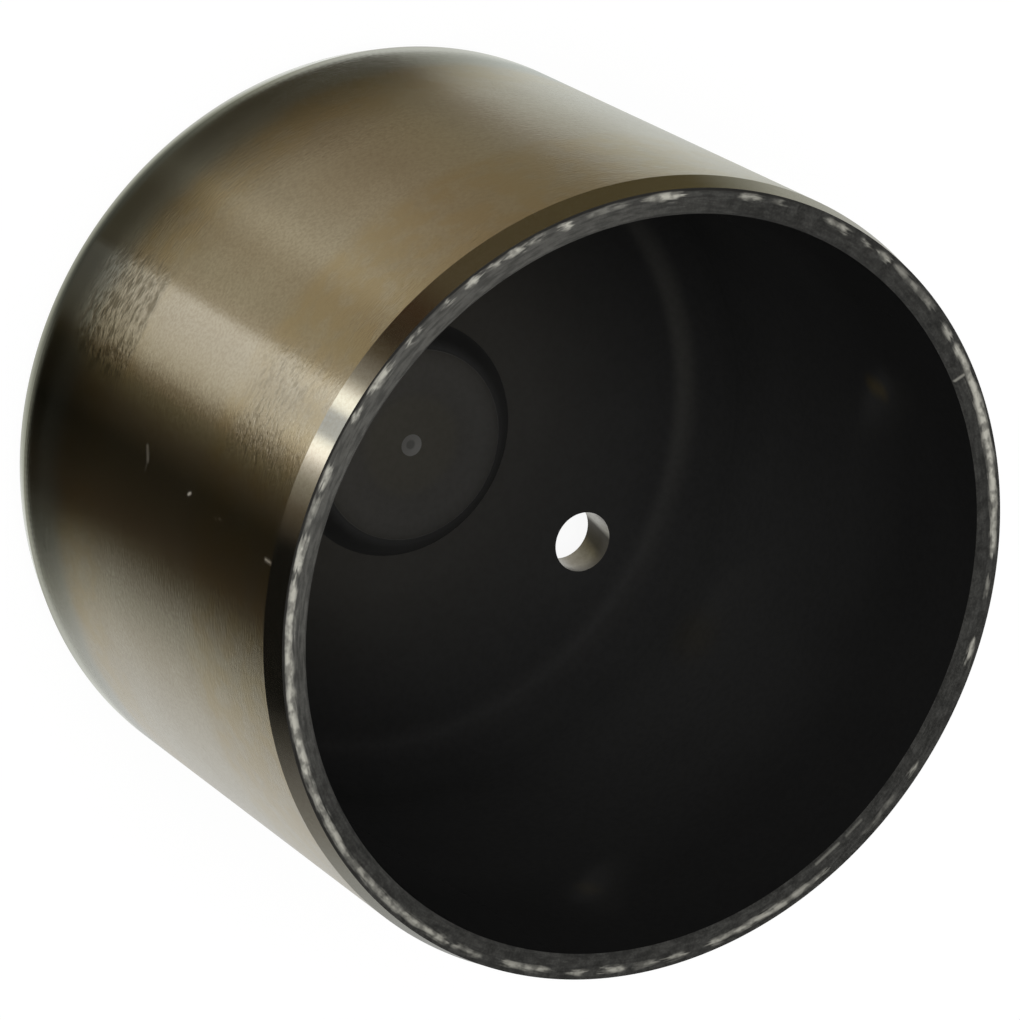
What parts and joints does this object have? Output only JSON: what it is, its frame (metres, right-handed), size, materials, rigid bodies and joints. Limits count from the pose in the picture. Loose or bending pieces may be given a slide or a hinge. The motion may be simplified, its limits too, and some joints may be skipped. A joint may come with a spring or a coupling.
{
  "type": "fuel pump cam follower",
  "caption": "Bucket-shaped steel cam follower for a fuel pump: ground skirt, flat closed crown, raised plunger pad inside and a small off-centre vent hole.",
  "frame": {"origin": "centre of the crown's outer face, which the cam rubs on and which the part stands on", "axes": "+Z along the sliding axis from the crown towards the open mouth; +Y towards the vent hole"},
  "size_m": [0.031, 0.031, 0.023],
  "materials": {
    "follower_steel": "hardened steel with a thin dark bronze coating, satin ground outside, matt black oxide inside the cup, bare worn spots on the mouth's flat rim"
  },
  "bodies": {
    "root": {"follower_cup": "follower_steel"}
  },
  "joints": []
}
